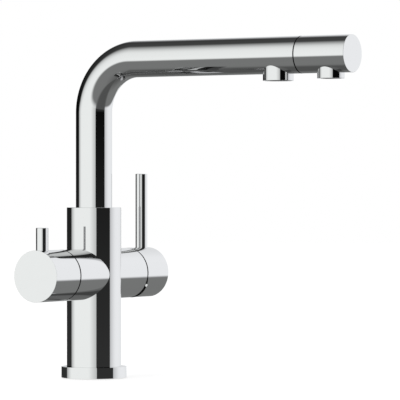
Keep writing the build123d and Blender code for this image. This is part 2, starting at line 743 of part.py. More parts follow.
# Grub screw in the underside of the mixer handle, down on the spindle's flat
with BuildPart() as mixer_grub_screw:
    with BuildSketch(Plane.XY.offset(valve_z - barrel_r + handle_screw_recess)):
        with Locations((0, mixer_screw_y)):
            Circle(handle_screw_r)
    extrude(amount=barrel_r - handle_screw_recess - spindle_w / 2 - seat_gap)
    with BuildSketch(Plane.XY.offset(valve_z - barrel_r + handle_screw_recess)):
        with Locations((0, mixer_screw_y)):
            RegularPolygon(hex_key_r, 6)
    extrude(amount=hex_key_depth, mode=Mode.SUBTRACT)
mixer_grub_screw.part.label = "mixer_grub_screw"
export_step(mixer_grub_screw.part, "parts/mixer_grub_screw.step")

# Filter cartridge, fixed pieces

# Rubber gasket with the seat's three ports
with BuildPart() as filter_gasket:
    with BuildSketch(filter_plane(seat)):
        Circle(filter_disc_r)
        add(filter_inlets, mode=Mode.SUBTRACT)
        add(filter_outlet, mode=Mode.SUBTRACT)
    extrude(amount=gasket_h)
filter_gasket.part.label = "filter_gasket"
export_step(filter_gasket.part, "parts/filter_gasket.step")

# Fixed ceramic disc with the same three ports
with BuildPart() as filter_fixed_disc:
    with BuildSketch(filter_plane(filter_fixed_y)):
        Circle(filter_disc_r)
        add(filter_inlets, mode=Mode.SUBTRACT)
        add(filter_outlet, mode=Mode.SUBTRACT)
    extrude(amount=disc_h)
filter_fixed_disc.part.label = "filter_fixed_disc"
export_step(filter_fixed_disc.part, "parts/filter_fixed_disc.step")

# Brass headwork, screwed in by its hexagon: a cup round the discs with a stop for the lug
with BuildPart() as filter_headwork:
    with BuildSketch(filter_plane(filter_fixed_y)):
        Circle(filter_pocket_r - seat_gap)
    extrude(amount=headwork_shoulder - filter_fixed_y)
    with BuildSketch(filter_plane(headwork_shoulder)):
        RegularPolygon(headwork_hex_r, 6)
    extrude(amount=headwork_end - headwork_shoulder)
    with BuildSketch(filter_profile):
        band(filter_fixed_y, filter_foot_y + slide_fit, 0, filter_disc_r + slide_fit)
        band(filter_foot_y + slide_fit, filter_foot_end + slide_fit, 0, filter_foot_r + slide_fit)
        band(filter_foot_end + slide_fit, headwork_end, 0, stem_r + turning_fit)
    revolve(axis=filter_axis, mode=Mode.SUBTRACT)
    with BuildSketch(filter_plane(filter_foot_y + slide_fit)):
        add(sector(filter_foot_r, filter_disc_r + slide_fit, 90, 360 - stop_arc(filter_range)))
    extrude(amount=filter_foot_h, mode=Mode.SUBTRACT)
filter_headwork.part.label = "filter_headwork"
export_step(filter_headwork.part, "parts/filter_headwork.step")

# Filter cartridge, moving pieces

# Moving ceramic disc: a curved groove joins the outlet to one inlet or the other
with BuildPart() as filter_moving_disc:
    with BuildSketch(filter_plane(filter_moving_y)):
        Circle(filter_disc_r)
    extrude(amount=disc_h)
    with BuildSketch(filter_plane(filter_moving_y)):
        add(sector(filter_port_inner, filter_port_outer, 90, groove_arc))
    extrude(amount=groove_depth, mode=Mode.SUBTRACT)
filter_moving_disc.part.label = "filter_moving_disc"
export_step(filter_moving_disc.part, "parts/filter_moving_disc.step")

# Spindle: a foot that turns the disc, a lug against the stop, a stem and a square
with BuildPart() as filter_spindle:
    with BuildSketch(filter_profile):
        band(filter_foot_y, filter_foot_end, 0, filter_foot_r)
        band(filter_foot_end, stem_end, 0, stem_r)
    revolve(axis=filter_axis)
    with BuildSketch(filter_plane(filter_foot_y + 2 * slide_fit)):
        add(sector((stem_r + filter_foot_r) / 2, filter_disc_r, 90, lug_arc))
    extrude(amount=filter_foot_h - 2 * slide_fit)
    with BuildSketch(filter_plane(stem_end)):
        Rectangle(filter_square, filter_square)
    extrude(amount=filter_square_end - stem_end)
filter_spindle.part.label = "filter_spindle"
export_step(filter_spindle.part, "parts/filter_spindle.step")

# Filter handle

# Handle: a cap that covers the barrel's mouth and turns on the spindle's square
with BuildPart() as filter_handle:
    with BuildSketch(filter_profile):
        band(handle_start, filter_end, 0, barrel_r)
        band(handle_start, filter_cavity_end, 0, handle_cavity_r, mode=Mode.SUBTRACT)
    revolve(axis=filter_axis)
    with BuildSketch(filter_plane(filter_cavity_end)):
        Rectangle(filter_square + 2 * seat_gap, filter_square + 2 * seat_gap)
    extrude(amount=filter_square_end + slide_fit - filter_cavity_end, mode=Mode.SUBTRACT)
    with BuildSketch(Plane.XY.offset(valve_z + lever_seat)):
        with Locations((0, -filter_lever_y)):
            Circle(lever_d / 2 + seat_gap)
    extrude(amount=barrel_r, mode=Mode.SUBTRACT)
    with BuildSketch(Plane.XY.offset(valve_z - barrel_r)):
        with Locations((0, -filter_screw_y)):
            Circle(handle_screw_r + seat_gap)
    extrude(amount=barrel_r - filter_square / 2, mode=Mode.SUBTRACT)
filter_handle.part.label = "filter_handle"
export_step(filter_handle.part, "parts/filter_handle.step")

# Short lever, screwed into the top of the filter handle
with BuildPart() as filter_lever:
    with BuildSketch(Plane.XY.offset(valve_z + lever_seat)):
        with Locations((0, -filter_lever_y)):
            Circle(lever_d / 2)
    extrude(amount=filter_lever_top - valve_z - lever_seat)
filter_lever.part.label = "filter_lever"
export_step(filter_lever.part, "parts/filter_lever.step")

# Grub screw in the underside of the filter handle
with BuildPart() as filter_grub_screw:
    with BuildSketch(Plane.XY.offset(valve_z - barrel_r + handle_screw_recess)):
        with Locations((0, -filter_screw_y)):
            Circle(handle_screw_r)
    extrude(amount=barrel_r - handle_screw_recess - filter_square / 2 - seat_gap)
    with BuildSketch(Plane.XY.offset(valve_z - barrel_r + handle_screw_recess)):
        with Locations((0, -filter_screw_y)):
            RegularPolygon(hex_key_r, 6)
    extrude(amount=hex_key_depth, mode=Mode.SUBTRACT)
filter_grub_screw.part.label = "filter_grub_screw"
export_step(filter_grub_screw.part, "parts/filter_grub_screw.step")
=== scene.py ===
import json
from math import cos, degrees, pi, radians, sqrt, tan

import bpy
import numpy as np
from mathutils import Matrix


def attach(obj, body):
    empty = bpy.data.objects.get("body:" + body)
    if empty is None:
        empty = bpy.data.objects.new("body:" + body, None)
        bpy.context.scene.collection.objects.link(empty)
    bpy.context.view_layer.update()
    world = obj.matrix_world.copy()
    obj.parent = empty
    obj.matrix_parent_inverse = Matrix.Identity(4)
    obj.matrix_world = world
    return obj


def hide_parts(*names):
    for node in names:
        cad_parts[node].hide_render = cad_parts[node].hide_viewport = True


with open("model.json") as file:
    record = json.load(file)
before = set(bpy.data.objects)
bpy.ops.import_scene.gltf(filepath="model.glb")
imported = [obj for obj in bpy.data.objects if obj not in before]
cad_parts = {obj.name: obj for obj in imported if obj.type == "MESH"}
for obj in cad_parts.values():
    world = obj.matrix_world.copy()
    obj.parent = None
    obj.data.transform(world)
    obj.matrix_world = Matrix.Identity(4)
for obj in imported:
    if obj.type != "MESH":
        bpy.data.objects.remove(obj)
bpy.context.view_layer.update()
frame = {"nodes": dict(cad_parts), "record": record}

# A chromed four-way kitchen mixer tap. The scene is in metres, in the frame of the solids: Z up
# from the deck, the spout along X, the filter valve along -Y and the mixer valve along +Y. The
# sizes below are millimetres. Along the barrels they are counted from the column's axis.

MM = 0.001

# Sizes that are the solids' own

COLUMN_R, COLUMN_TOP = 22.5, 140.5
RING_R, RING_TOP = 27.0, 9.0
SPIGOT_R, SPIGOT_FOOT = 20.0, 1.5
CAVITY_R, CAVITY_TOP = 18.0, 60.0
SEAL_R, SEAL_TOP = 24.0, 2.5
SWIVEL_R, SWIVEL_FLOOR = 15.05, 112.0
SOCKET_R, SOCKET_FLOOR = 5.05, 104.0
SCREW_R, SCREW_Z = 2.52, 125.1
SEAT_GAP = 0.02     # radial, between pieces that are pressed, screwed or brazed together

VALVE_Z, BARREL_R = 85.3, 21.0
SEAT, MIXER_POCKET_R, FILTER_POCKET_R = 13.0, 18.0, 13.0
HANDLE_CAVITY_R, MIXER_CAVITY, FILTER_CAVITY = 18.5, 62.0, 60.0
MIXER_SCREW, FILTER_SCREW = 66.5, 65.0
FILTER_END = 83.6
PIVOT_Y, NUT_RIM = 42.0, 49.4
LEVER_R, LEVER_SEAT = 5.0, 94.3
MIXER_LEVER_Y, MIXER_LEVER_TOP = 71.35, 168.6
FILTER_LEVER_Y, FILTER_LEVER_TOP = -74.2, 124.4

TUBE_R, TUBE_BORE_R = 15.0, 13.5
TUBE_FOOT, SPOUT_Z, BEND_R = 130.0, 262.4, 43.5
HEAD_END, HEAD_FLOOR = 245.5, 241.5
COLLAR_TOP = 253.9
# Outlets: place along the spout, lower edge, outer and inner radius
MIXER_OUTLET = (177.7, 242.0, 12.3, 10.75)
FILTER_OUTLET = (226.0, 243.0, 10.85, 8.5)

# Sizes that differ a little from the solids', and sizes that the solids don't have

BARREL_RIM, HANDLE_START = 48.75, 50.25
MIXER_END = 81.0
RELIEF_START, RELIEF = 4.0, tan(radians(15.1))      # where the mixer handle's rim slopes, and how much
RIM_FLAT = (radians(58.8), radians(3.5), 16.5)      # middle, half its width, where it starts
RIM_FLAT_SLOPE = tan(radians(29.3))
NUT_BALL_R, NUT_FRONT_R, NUT_FOOT = 19.44, 10.2, 39.0
SCREW_HOLE_FLOOR = 14.0         # from a barrel's axis to the bottom of a grub screw's hole
TUBE_END, HEAD_START = 199.45, 200.55
GLIDE_END, GLIDE_INNER_R, GLIDE_OUTER_R = 54.0, 16.9, 18.4
GLIDE_GAP, GLIDE_EDGE = 0.05, 0.3
EDGE, FINE_EDGE, LEVER_EDGE = 0.25, 0.1, 0.4        # edges that have been broken and polished

# How the surfaces are divided

ROUND, NUT_ROUND, LEVER_ROUND = 256, 192, 128       # steps round a turned piece
BEND_ROWS, RISER_ROWS, NUT_ROWS, PLAIN_ROWS = 65, 9, 17, 5      # plain: beside a hole
OUTLET_STEPS = 40               # along an outlet's hole
SCREW_ROWS_START = 4.0          # from a grub screw back to the first row of points round its hole
BORE_HAIR = 0.01                # from the swivel's bore out to the inner end of the stop screw's hole
HAIR = 0.001                    # the smallest step that the weld keeps
WELDS = 1e6                     # places per metre that the weld tells apart
OFF_BORDER = 0.3137             # keeps round sizes off the border between two such places


class Lathe:
    """An axis with two directions across it. All lengths are millimetres."""

    def __init__(self, origin, along, across, beside):
        self.origin, self.along, self.across, self.beside = (
            np.array(v, float) for v in (origin, along, across, beside)
        )

    def radial(self, angle):
        """Unit vector square to the axis: cos(angle) across plus sin(angle) beside."""
        return np.cos(angle)[..., None] * self.across + np.sin(angle)[..., None] * self.beside

    def point(self, station, radius, angle):
        """Origin plus station times the axis plus radius times the radial vector."""
        given = (np.asarray(v, float) for v in (station, radius, angle))
        station, radius, angle = np.broadcast_arrays(*given)
        return self.origin + station[..., None] * self.along + radius[..., None] * self.radial(angle)

    def normal(self, tilt, angle):
        """cos(tilt) times the radial vector plus sin(tilt) times the axis."""
        tilt, angle = np.broadcast_arrays(*(np.asarray(v, float) for v in (tilt, angle)))
        return np.cos(tilt)[..., None] * self.radial(angle) + np.sin(tilt)[..., None] * self.along


def upright(x, y, z=0.0):
    """An upright axis."""
    return Lathe((x, y, z), (0, 0, 1), (1, 0, 0), (0, 1, 0))


COLUMN = Lathe((0, 0, 0), (0, 0, 1), (-1, 0, 0), (0, -1, 0))
MIXER = Lathe((0, 0, VALVE_Z), (0, 1, 0), (0, 0, -1), (1, 0, 0))
FILTER = Lathe((0, 0, VALVE_Z), (0, -1, 0), (0, 0, -1), (1, 0, 0))
SPOUT = Lathe((0, 0, SPOUT_Z), (1, 0, 0), (0, 0, -1), (0, 1, 0))


def once_round(n=ROUND):
    """n + 1 equal steps from 0 to a full turn, the last on the first."""
    return np.linspace(0.0, 2 * pi, n + 1)


def eased(corners, radii, closed, steps=5):
    """Profile of straight runs whose corners are arcs.

    corners are (station, radius) pairs with the outside on the left of the way they are walked.
    At a corner the arc's centre lies on the bisector of the two runs' normals n1 and n2, at
    r (n1 + n2) / (1 + n1 . n2) from the corner, inwards on a convex corner and outwards on a
    hollow one; its points are the centre plus or minus r times a normal that turns from n1 to
    n2. Gives stations, radii and the tilt of the normal, one row per point.
    """
    p, r = np.array(corners, float), np.array(radii, float)
    run = np.roll(p, -1, axis=0) - p
    if not closed:
        run[-1] = run[-2]
    run /= np.linalg.norm(run, axis=1)[:, None]
    after = np.stack([-run[:, 1], run[:, 0]], axis=1)
    before = np.roll(after, 1, axis=0)
    if not closed:
        before[0] = after[0]
    turn = before[:, 0] * after[:, 1] - before[:, 1] * after[:, 0]
    swing = np.arctan2(turn, (before * after).sum(axis=1))[:, None]
    heading = np.arctan2(before[:, 1], before[:, 0])[:, None] + swing * np.linspace(0, 1, steps + 1)
    n = np.stack([np.cos(heading), np.sin(heading)], axis=-1)
    side = np.where(turn < 0, 1.0, -1.0)[:, None] * r[:, None]
    centre = p - side * (before + after) / (1 + (before * after).sum(axis=1))[:, None]
    points = (centre[:, None] + side[..., None] * n).reshape(-1, 2)
    n = n.reshape(-1, 2)
    if closed:
        points, n = np.vstack([points, points[:1]]), np.vstack([n, n[:1]])
    return points[:, 0], points[:, 1], np.arctan2(n[:, 0], n[:, 1])


def halves(quads):
    """The two triangles of each quad."""
    return np.concatenate([quads[:, [0, 1, 2]], quads[:, [0, 2, 3]]])


class Shell:
    """The patches of one closed piece, each a grid of points with the outward normal at each.

    A patch is polished, or an unpolished inner face whose near-black colour is painted shade.
    """

    def __init__(self):
        self.points, self.normals, self.inner = [], [], []

    def grid(self, points, normals, inner=False):
        """Adds a patch: rows by columns of points, and their normals."""
        for kept, given in ((self.points, points), (self.normals, normals)):
            given = np.broadcast_to(given, points.shape)
            quads = np.stack([given[:-1, :-1], given[1:, :-1], given[1:, 1:], given[:-1, 1:]], axis=2)
            kept.append(quads.reshape(-1, 4, 3))
        self.inner.append(np.full(len(self.points[-1]), int(inner)))

    def turned(self, lathe, corners, radii=None, closed=False, n=ROUND, inner=False):
        """Revolves an eased profile about the lathe's axis."""
        profile = eased(corners, radii or [0.0] * len(corners), closed)
        station, radius, tilt = (v[:, None] for v in profile)
        angle = once_round(n)[None, :]
        self.grid(lathe.point(station, radius, angle), lathe.normal(tilt, angle), inner)

    def make(self, name, body, replaced):
        """Welds the patches into one mesh of triangles that keeps each corner's own normal.

        Each quad is cut in two. Points less than about a micron apart become one, triangles with
        two corners in one place go, and a triangle that faces against its normals is turned round.
        """
        p, n = halves(np.concatenate(self.points) * MM), halves(np.concatenate(self.normals))
        place = np.round(p.reshape(-1, 3) * WELDS + OFF_BORDER).astype(np.int64)
        _, first, index = np.unique(place, axis=0, return_index=True, return_inverse=True)
        vertices, index = p.reshape(-1, 3)[first], index.reshape(-1, 3)
        whole = (index != np.roll(index, 1, axis=1)).all(axis=1)
        p, n, index = p[whole], n[whole], index[whole]
        inner = np.tile(np.concatenate(self.inner), 2)[whole]
        facing = np.cross(p[:, 1] - p[:, 0], p[:, 2] - p[:, 0])
        against = (facing * n.sum(axis=1)).sum(axis=1) < 0
        index[against], n[against] = index[against][:, ::-1], n[against][:, ::-1]
        mesh = bpy.data.meshes.new(name)
        mesh.vertices.add(len(vertices))
        mesh.vertices.foreach_set("co", vertices.ravel())
        mesh.loops.add(index.size)
        mesh.loops.foreach_set("vertex_index", index.ravel())
        mesh.polygons.add(len(index))
        mesh.polygons.foreach_set("loop_start", np.arange(0, index.size, 3))
        mesh.polygons.foreach_set("loop_total", np.full(len(index), 3))
        mesh.polygons.foreach_set("material_index", inner)
        mesh.update(calc_edges=True)
        mesh.validate()
        mesh.shade_smooth()
        mesh.normals_split_custom_set((n / np.linalg.norm(n, axis=2)[..., None]).reshape(-1, 3))
        piece = bpy.data.objects.new(name, mesh)
        bpy.context.scene.collection.objects.link(piece)
        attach(piece, body)
        if replaced:
            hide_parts(*replaced)
        return piece


def across_hole(start, end, at, hole_r, radius, steps=24):
    """Stations of a tube's rows from start to end, and half the angle that a round hole takes.

    The rows over the hole lie at the hole's place minus its radius times cos(t), t from 0 to pi,
    or plus it where the rows run backwards. There the hole is sqrt(hole_r^2 - d^2) wide to either
    side, d from its centre, and on the tube's round that is the angle whose sine is that width
    over the tube's radius.
    """
    t = np.linspace(0, pi, steps + 1)
    back = hole_r if start < end else -hole_r
    before = np.linspace(start, at - back, PLAIN_ROWS)[:-1]
    after = np.linspace(at + back, end, PLAIN_ROWS)[1:]
    station = np.concatenate([before, at - back * np.cos(t), after])
    wide = np.concatenate([before * 0, hole_r * np.sin(t), after * 0])
    return station, np.arcsin(wide / radius)


def past_hole(half, n=ROUND):
    """Angles round a tube from one edge of its hole to the other: half to a full turn less half."""
    return half[:, None] + np.linspace(0, 1, n + 1)[None, :] * (2 * pi - 2 * half[:, None])


def hole_wall(shell, lathe, at, hole_r, outer, inner=None, floor=None, steps=24):
    """Wall of a hole across a lathe's axis, on its across side.

    Round the hole by t, the station is at minus hole_r cos(t), the width hole_r sin(t), and the
    wall runs between the heights sqrt(outer^2 - width^2) and sqrt(inner^2 - width^2). A blind
    hole ends in a flat floor at a height of its own instead.
    """
    t = np.linspace(0, 2 * pi, 2 * steps + 1)
    station, width = at - hole_r * np.cos(t), hole_r * np.sin(t)
    top = np.sqrt(outer**2 - width**2)
    low = np.sqrt(inner**2 - width**2) if floor is None else np.full_like(t, floor)
    height = np.stack([top, low])
    points = (
        lathe.origin
        + station[..., None] * lathe.along
        + height[..., None] * lathe.across
        + (width[..., None] * lathe.beside)[None]
    )
    shell.grid(points, (np.cos(t)[:, None] * lathe.along - np.sin(t)[:, None] * lathe.beside)[None])
    if floor is not None:
        middle = np.broadcast_to(lathe.origin + at * lathe.along + floor * lathe.across, points[1].shape)
        shell.grid(np.stack([points[1], middle]), lathe.across)


def plain_round(name, body, replaced, lathe, corners, radii=None, n=ROUND):
    """A piece that is one closed turned profile."""
    shell = Shell()
    shell.turned(lathe, corners, radii, closed=True, n=n)
    return shell.make(name, body, replaced)


# Column and base

ring_bore_r = SPIGOT_R + SEAT_GAP
ring_skin = plain_round(
    "base_ring_skin",
    "tap_body",
    ["base_ring"],
    COLUMN,
    [
        (0, RING_R), (RING_TOP, RING_R), (RING_TOP, ring_bore_r), (SEAL_TOP, ring_bore_r),
        (SEAL_TOP, SEAL_R), (0, SEAL_R),
    ],
)


def housing():
    """The column and its two barrels as one closed shell.

    Where a barrel meets the column, a point at the angle a round the barrel has x = R cos a,
    z = valve + R sin a and y = sqrt(C^2 - x^2), R and C the two radii. The column's wall beside
    the barrels is therefore two strips, one on each side: at each row, the angle whose sine is
    sin a, the strip runs round the column from one barrel's edge to the other's. The barrels'
    walls run straight from the same edges to their rims.
    """
    shell = Shell()
    rows, columns = 64, 96
    a = np.linspace(-pi / 2, pi / 2, rows + 1)
    x = BARREL_R * np.cos(a)
    y = np.sqrt(COLUMN_R**2 - x**2)
    z = VALVE_Z + BARREL_R * np.sin(a)
    spread = np.linspace(-1, 1, columns + 1)[None, :] * np.arctan2(y, x)[:, None]
    for middle in (0.0, pi):
        angle = middle + spread
        shell.grid(COLUMN.point(z[:, None], COLUMN_R, angle), COLUMN.normal(0.0, angle))
    # Wall below the barrels, then the foot, the cavity and its roof
    angle = pi / 2 + once_round(2 * columns)[None, :]
    shell.grid(COLUMN.point(np.array([[RING_TOP], [z[0]]]), COLUMN_R, angle), COLUMN.normal(0.0, angle))
    foot = [
        (CAVITY_TOP, 0), (CAVITY_TOP, CAVITY_R), (SPIGOT_FOOT, CAVITY_R), (SPIGOT_FOOT, SPIGOT_R),
        (RING_TOP, SPIGOT_R), (RING_TOP, COLUMN_R),
    ]
    shell.turned(COLUMN, foot, n=2 * columns, inner=True)
    # Wall above them, with the hole for the stop screw at the back
    station, half = across_hole(z[-1], COLUMN_TOP - EDGE, SCREW_Z, SCREW_R, COLUMN_R)
    angle = past_hole(half, 2 * columns)
    shell.grid(COLUMN.point(station[:, None], COLUMN_R, angle), COLUMN.normal(0.0, angle))
    hole_wall(shell, COLUMN, SCREW_Z, SCREW_R, COLUMN_R, SWIVEL_R + BORE_HAIR)
    top = [(COLUMN_TOP - EDGE, COLUMN_R), (COLUMN_TOP, COLUMN_R), (COLUMN_TOP, SWIVEL_R)]
    shell.turned(COLUMN, top, [0, EDGE, 0], n=2 * columns)
    # The screw's hole goes through the wall of the swivel's bore too
    station, half = across_hole(COLUMN_TOP, SWIVEL_FLOOR, SCREW_Z, SCREW_R, SWIVEL_R)
    angle = past_hole(half, 2 * columns)
    shell.grid(COLUMN.point(station[:, None], SWIVEL_R, angle), COLUMN.normal(pi, angle), inner=True)
    socket = [
        (SWIVEL_FLOOR, SWIVEL_R), (SWIVEL_FLOOR, SOCKET_R), (SOCKET_FLOOR, SOCKET_R), (SOCKET_FLOOR, 0),
    ]
    shell.turned(COLUMN, socket, n=2 * columns, inner=True)
    # Barrels: the angle round each is counted from its underside
    t = once_round(2 * rows)
    edge = np.sqrt(COLUMN_R**2 - (BARREL_R * np.sin(t)) ** 2)
    station = np.stack([edge, np.full_like(edge, BARREL_RIM)])
    for lathe, pocket_r in ((MIXER, MIXER_POCKET_R), (FILTER, FILTER_POCKET_R)):
        shell.grid(lathe.point(station, BARREL_R, t[None]), lathe.normal(0.0, t[None]))
        pocket = [(BARREL_RIM, BARREL_R), (BARREL_RIM, pocket_r), (SEAT, pocket_r), (SEAT, 0)]
        shell.turned(lathe, pocket, n=2 * rows, inner=True)
    return shell.make("housing_skin", "tap_body", ["body_housing"])


housing_skin = housing()


def cover_nut():
    """A ring whose outer face is part of the ball round the point that the handle tilts on.

    A point at the angle b from the axis lies at pivot + R cos b along it and R sin b from it.
    """
    shell = Shell()
    rim_r = sqrt(NUT_BALL_R**2 - (NUT_RIM - PIVOT_Y) ** 2)
    b = np.linspace(np.arcsin(rim_r / NUT_BALL_R), np.arcsin(NUT_FRONT_R / NUT_BALL_R), NUT_ROWS)
    angle = once_round(NUT_ROUND)[None, :]
    along, off = PIVOT_Y + NUT_BALL_R * np.cos(b), NUT_BALL_R * np.sin(b)
    tilt = (pi / 2 - b)[:, None]
    shell.grid(MIXER.point(along[:, None], off[:, None], angle), MIXER.normal(tilt, angle))
    inside = [(along[-1], off[-1]), (NUT_FOOT, off[-1]), (NUT_FOOT, rim_r), (along[0], rim_r)]
    shell.turned(MIXER, inside, n=NUT_ROUND)
    return shell.make("cover_nut_skin", "tap_body", ["mixer_cover_nut"])


nut_skin = cover_nut()

# Handles and levers


def handle(name, body, replaced, lathe, end, cavity, screw_at, relief=0.0, flat=None):
    """A cap over a barrel's mouth.

    Its rim stands at start + relief times max(0, depth below the axis - RELIEF_START) along the
    axis. The outer wall runs straight from there to the rows of points round the grub screw's
    hole, and on to the end. A small upright flat on the rim's outer edge, where one is given as
    its middle angle, half its width and the place beside the axis where it starts, cuts in by
    RIM_FLAT_SLOPE times the distance from there.
    """
    shell = Shell()
    t = once_round()

    def rim(radius):
        """Station of the rim at a radius, all round."""
        return HANDLE_START + np.maximum(0.0, radius * np.cos(t) - RELIEF_START) * relief

    outer, edge_r, cut = rim(BARREL_R), np.full_like(t, BARREL_R - 2 * HAIR), np.zeros_like(t)
    if flat:
        middle, half_width, start = flat
        on_flat = np.abs(t - middle) < half_width
        cut[on_flat], edge_r[on_flat] = 1.0, start / np.sin(t[on_flat])
        outer = outer + cut * RIM_FLAT_SLOPE * (BARREL_R * np.sin(t) - start)
    outer = outer + HAIR
    rows_start = screw_at - SCREW_ROWS_START
    wall = np.stack([outer, np.full_like(t, rows_start)])
    shell.grid(lathe.point(wall, BARREL_R, t[None]), lathe.normal(0.0, t[None]))
    station, half = across_hole(rows_start, end - FINE_EDGE, screw_at, SCREW_R, BARREL_R)
    angle = past_hole(half)
    shell.grid(lathe.point(station[:, None], BARREL_R, angle), lathe.normal(0.0, angle))
    hole_wall(shell, lathe, screw_at, SCREW_R, BARREL_R, floor=SCREW_HOLE_FLOOR)
    shell.turned(lathe, [(end - FINE_EDGE, BARREL_R), (end, BARREL_R), (end, 0)], [0, FINE_EDGE, 0])
    # The rim's outer edge with the flat, the rim's face, and the cavity with its floor
    inner = rim(HANDLE_CAVITY_R)
    edge = lathe.point(rim(edge_r), edge_r, t)
    facing = cut[:, None] * RIM_FLAT_SLOPE * lathe.beside - lathe.along
    shell.grid(np.stack([lathe.point(outer, BARREL_R, t), edge]), facing[None])
    shell.grid(np.stack([edge, lathe.point(inner, HANDLE_CAVITY_R, t)]), -lathe.along, inner=True)
    wall = np.stack([inner, np.full_like(t, cavity)])
    shell.grid(lathe.point(wall, HANDLE_CAVITY_R, t[None]), lathe.normal(pi, t[None]), inner=True)
    shell.turned(lathe, [(cavity, HANDLE_CAVITY_R), (cavity, 0)], inner=True)
    return shell.make(name, body, replaced)


mixer_handle_skin = handle(
    "mixer_handle_skin", "mixer_hand", ["mixer_handle"], MIXER, MIXER_END, MIXER_CAVITY, MIXER_SCREW,
    RELIEF, RIM_FLAT,
)
filter_handle_skin = handle(
    "filter_handle_skin", "filter_hand", ["filter_handle"], FILTER, FILTER_END, FILTER_CAVITY, FILTER_SCREW,
)

# Inside the filter handle's rim, a ring that glides on the barrel's end and closes the gap
glide_start = BARREL_RIM + GLIDE_GAP
glide_ring = plain_round(
    "filter_glide_ring",
    "filter_hand",
    [],
    FILTER,
    [
        (GLIDE_END, GLIDE_INNER_R), (glide_start, GLIDE_INNER_R), (glide_start, GLIDE_OUTER_R),
        (GLIDE_END, GLIDE_OUTER_R),
    ],
    [GLIDE_EDGE] * 4,
)


def lever(name, body, replaced, y, top):
    """A round rod with an eased top edge."""
    corners = [(LEVER_SEAT, 0), (LEVER_SEAT, LEVER_R), (top, LEVER_R), (top, 0)]
    return plain_round(name, body, replaced, upright(0, y), corners, [0, 0, LEVER_EDGE, 0], LEVER_ROUND)


mixer_lever_skin = lever(
    "mixer_lever_skin", "mixer_hand", ["mixer_lever"], MIXER_LEVER_Y, MIXER_LEVER_TOP,
)
filter_lever_skin = lever(
    "filter_lever_skin", "filter_hand", ["filter_lever"], FILTER_LEVER_Y, FILTER_LEVER_TOP,
)

# Spout


def tube():
    """The spout's tube with the bore and the hole over the mixed outlet.

    Its axis rises to the bend, where the point at the angle b lies at (B - B cos b, Z - B + B sin b),
    B the bend's radius, and then runs level. Round the axis, the angle is counted from the side
    that faces down on the level run.
    """
    shell = Shell()
    at, hole_r = MIXER_OUTLET[0], MIXER_OUTLET[2] + SEAT_GAP
    b = np.linspace(0, pi / 2, BEND_ROWS)
    rise = np.linspace(TUBE_FOOT, SPOUT_Z - BEND_R, RISER_ROWS)[:-1]
    for radius, tilt in ((TUBE_R, 0.0), (TUBE_BORE_R, pi)):
        # The bend's last row is the level run's first
        level, half = (v[1:] for v in across_hole(BEND_R, TUBE_END, at, hole_r, radius, OUTLET_STEPS))
        x = np.concatenate([rise * 0, BEND_R - BEND_R * np.cos(b), level])
        z = np.concatenate([rise, SPOUT_Z - BEND_R + BEND_R * np.sin(b), level * 0 + SPOUT_Z])
        bend = np.concatenate([rise * 0, b, level * 0 + pi / 2])
        half = np.concatenate([rise * 0, b * 0, half])
        down = np.stack([np.cos(bend), bend * 0, -np.sin(bend)], axis=1)[:, None]
        angle = past_hole(half)[..., None]
        out = np.cos(angle) * down + np.sin(angle) * np.array([0.0, 1.0, 0.0])
        centre = np.stack([x, x * 0, z], axis=1)[:, None]
        shell.grid(centre + radius * out, out * cos(tilt), inner=tilt > 0)
    hole_wall(shell, SPOUT, at, hole_r, TUBE_R, TUBE_BORE_R, steps=OUTLET_STEPS)
    shell.turned(upright(0, 0, TUBE_FOOT), [(0, TUBE_BORE_R), (0, TUBE_R)], inner=True)
    shell.turned(SPOUT, [(TUBE_END, TUBE_R), (TUBE_END, TUBE_BORE_R)], inner=True)
    return shell.make("tube_skin", "spout", ["spout_tube"])


tube_skin = tube()


def head():
    """The separate end of the spout, with the hole over the filtered outlet."""
    shell = Shell()
    at, hole_r = FILTER_OUTLET[0], FILTER_OUTLET[2] + SEAT_GAP
    for radius, tilt, end in ((TUBE_R, 0.0, HEAD_END - EDGE), (TUBE_BORE_R, pi, HEAD_FLOOR)):
        station, half = across_hole(HEAD_START, end, at, hole_r, radius, OUTLET_STEPS)
        angle = past_hole(half)
        shell.grid(SPOUT.point(station[:, None], radius, angle), SPOUT.normal(tilt, angle), inner=tilt > 0)
    hole_wall(shell, SPOUT, at, hole_r, TUBE_R, TUBE_BORE_R, steps=OUTLET_STEPS)
    shell.turned(SPOUT, [(HEAD_START, TUBE_BORE_R), (HEAD_START, TUBE_R)], inner=True)
    shell.turned(SPOUT, [(HEAD_END - EDGE, TUBE_R), (HEAD_END, TUBE_R), (HEAD_END, 0)], [0, EDGE, 0])
    shell.turned(SPOUT, [(HEAD_FLOOR, TUBE_BORE_R), (HEAD_FLOOR, 0)], inner=True)
    return shell.make("head_skin", "spout", ["spout_head"])


head_skin = head()


def collar(name, replaced, outlet):
    """The round wall of an outlet under the spout, its lower edges eased."""
    x, low, outer, inner = outlet
    corners = [(low, inner), (low, outer), (COLLAR_TOP, outer), (COLLAR_TOP, inner)]
    return plain_round(name, "spout", replaced, upright(x, 0), corners, [EDGE, EDGE, 0, 0])


mixer_collar_skin = collar("mixer_collar_skin", ["mixer_outlet_collar"], MIXER_OUTLET)
filter_collar_skin = collar("filter_collar_skin", ["filter_outlet_collar"], FILTER_OUTLET)

# Shader maths


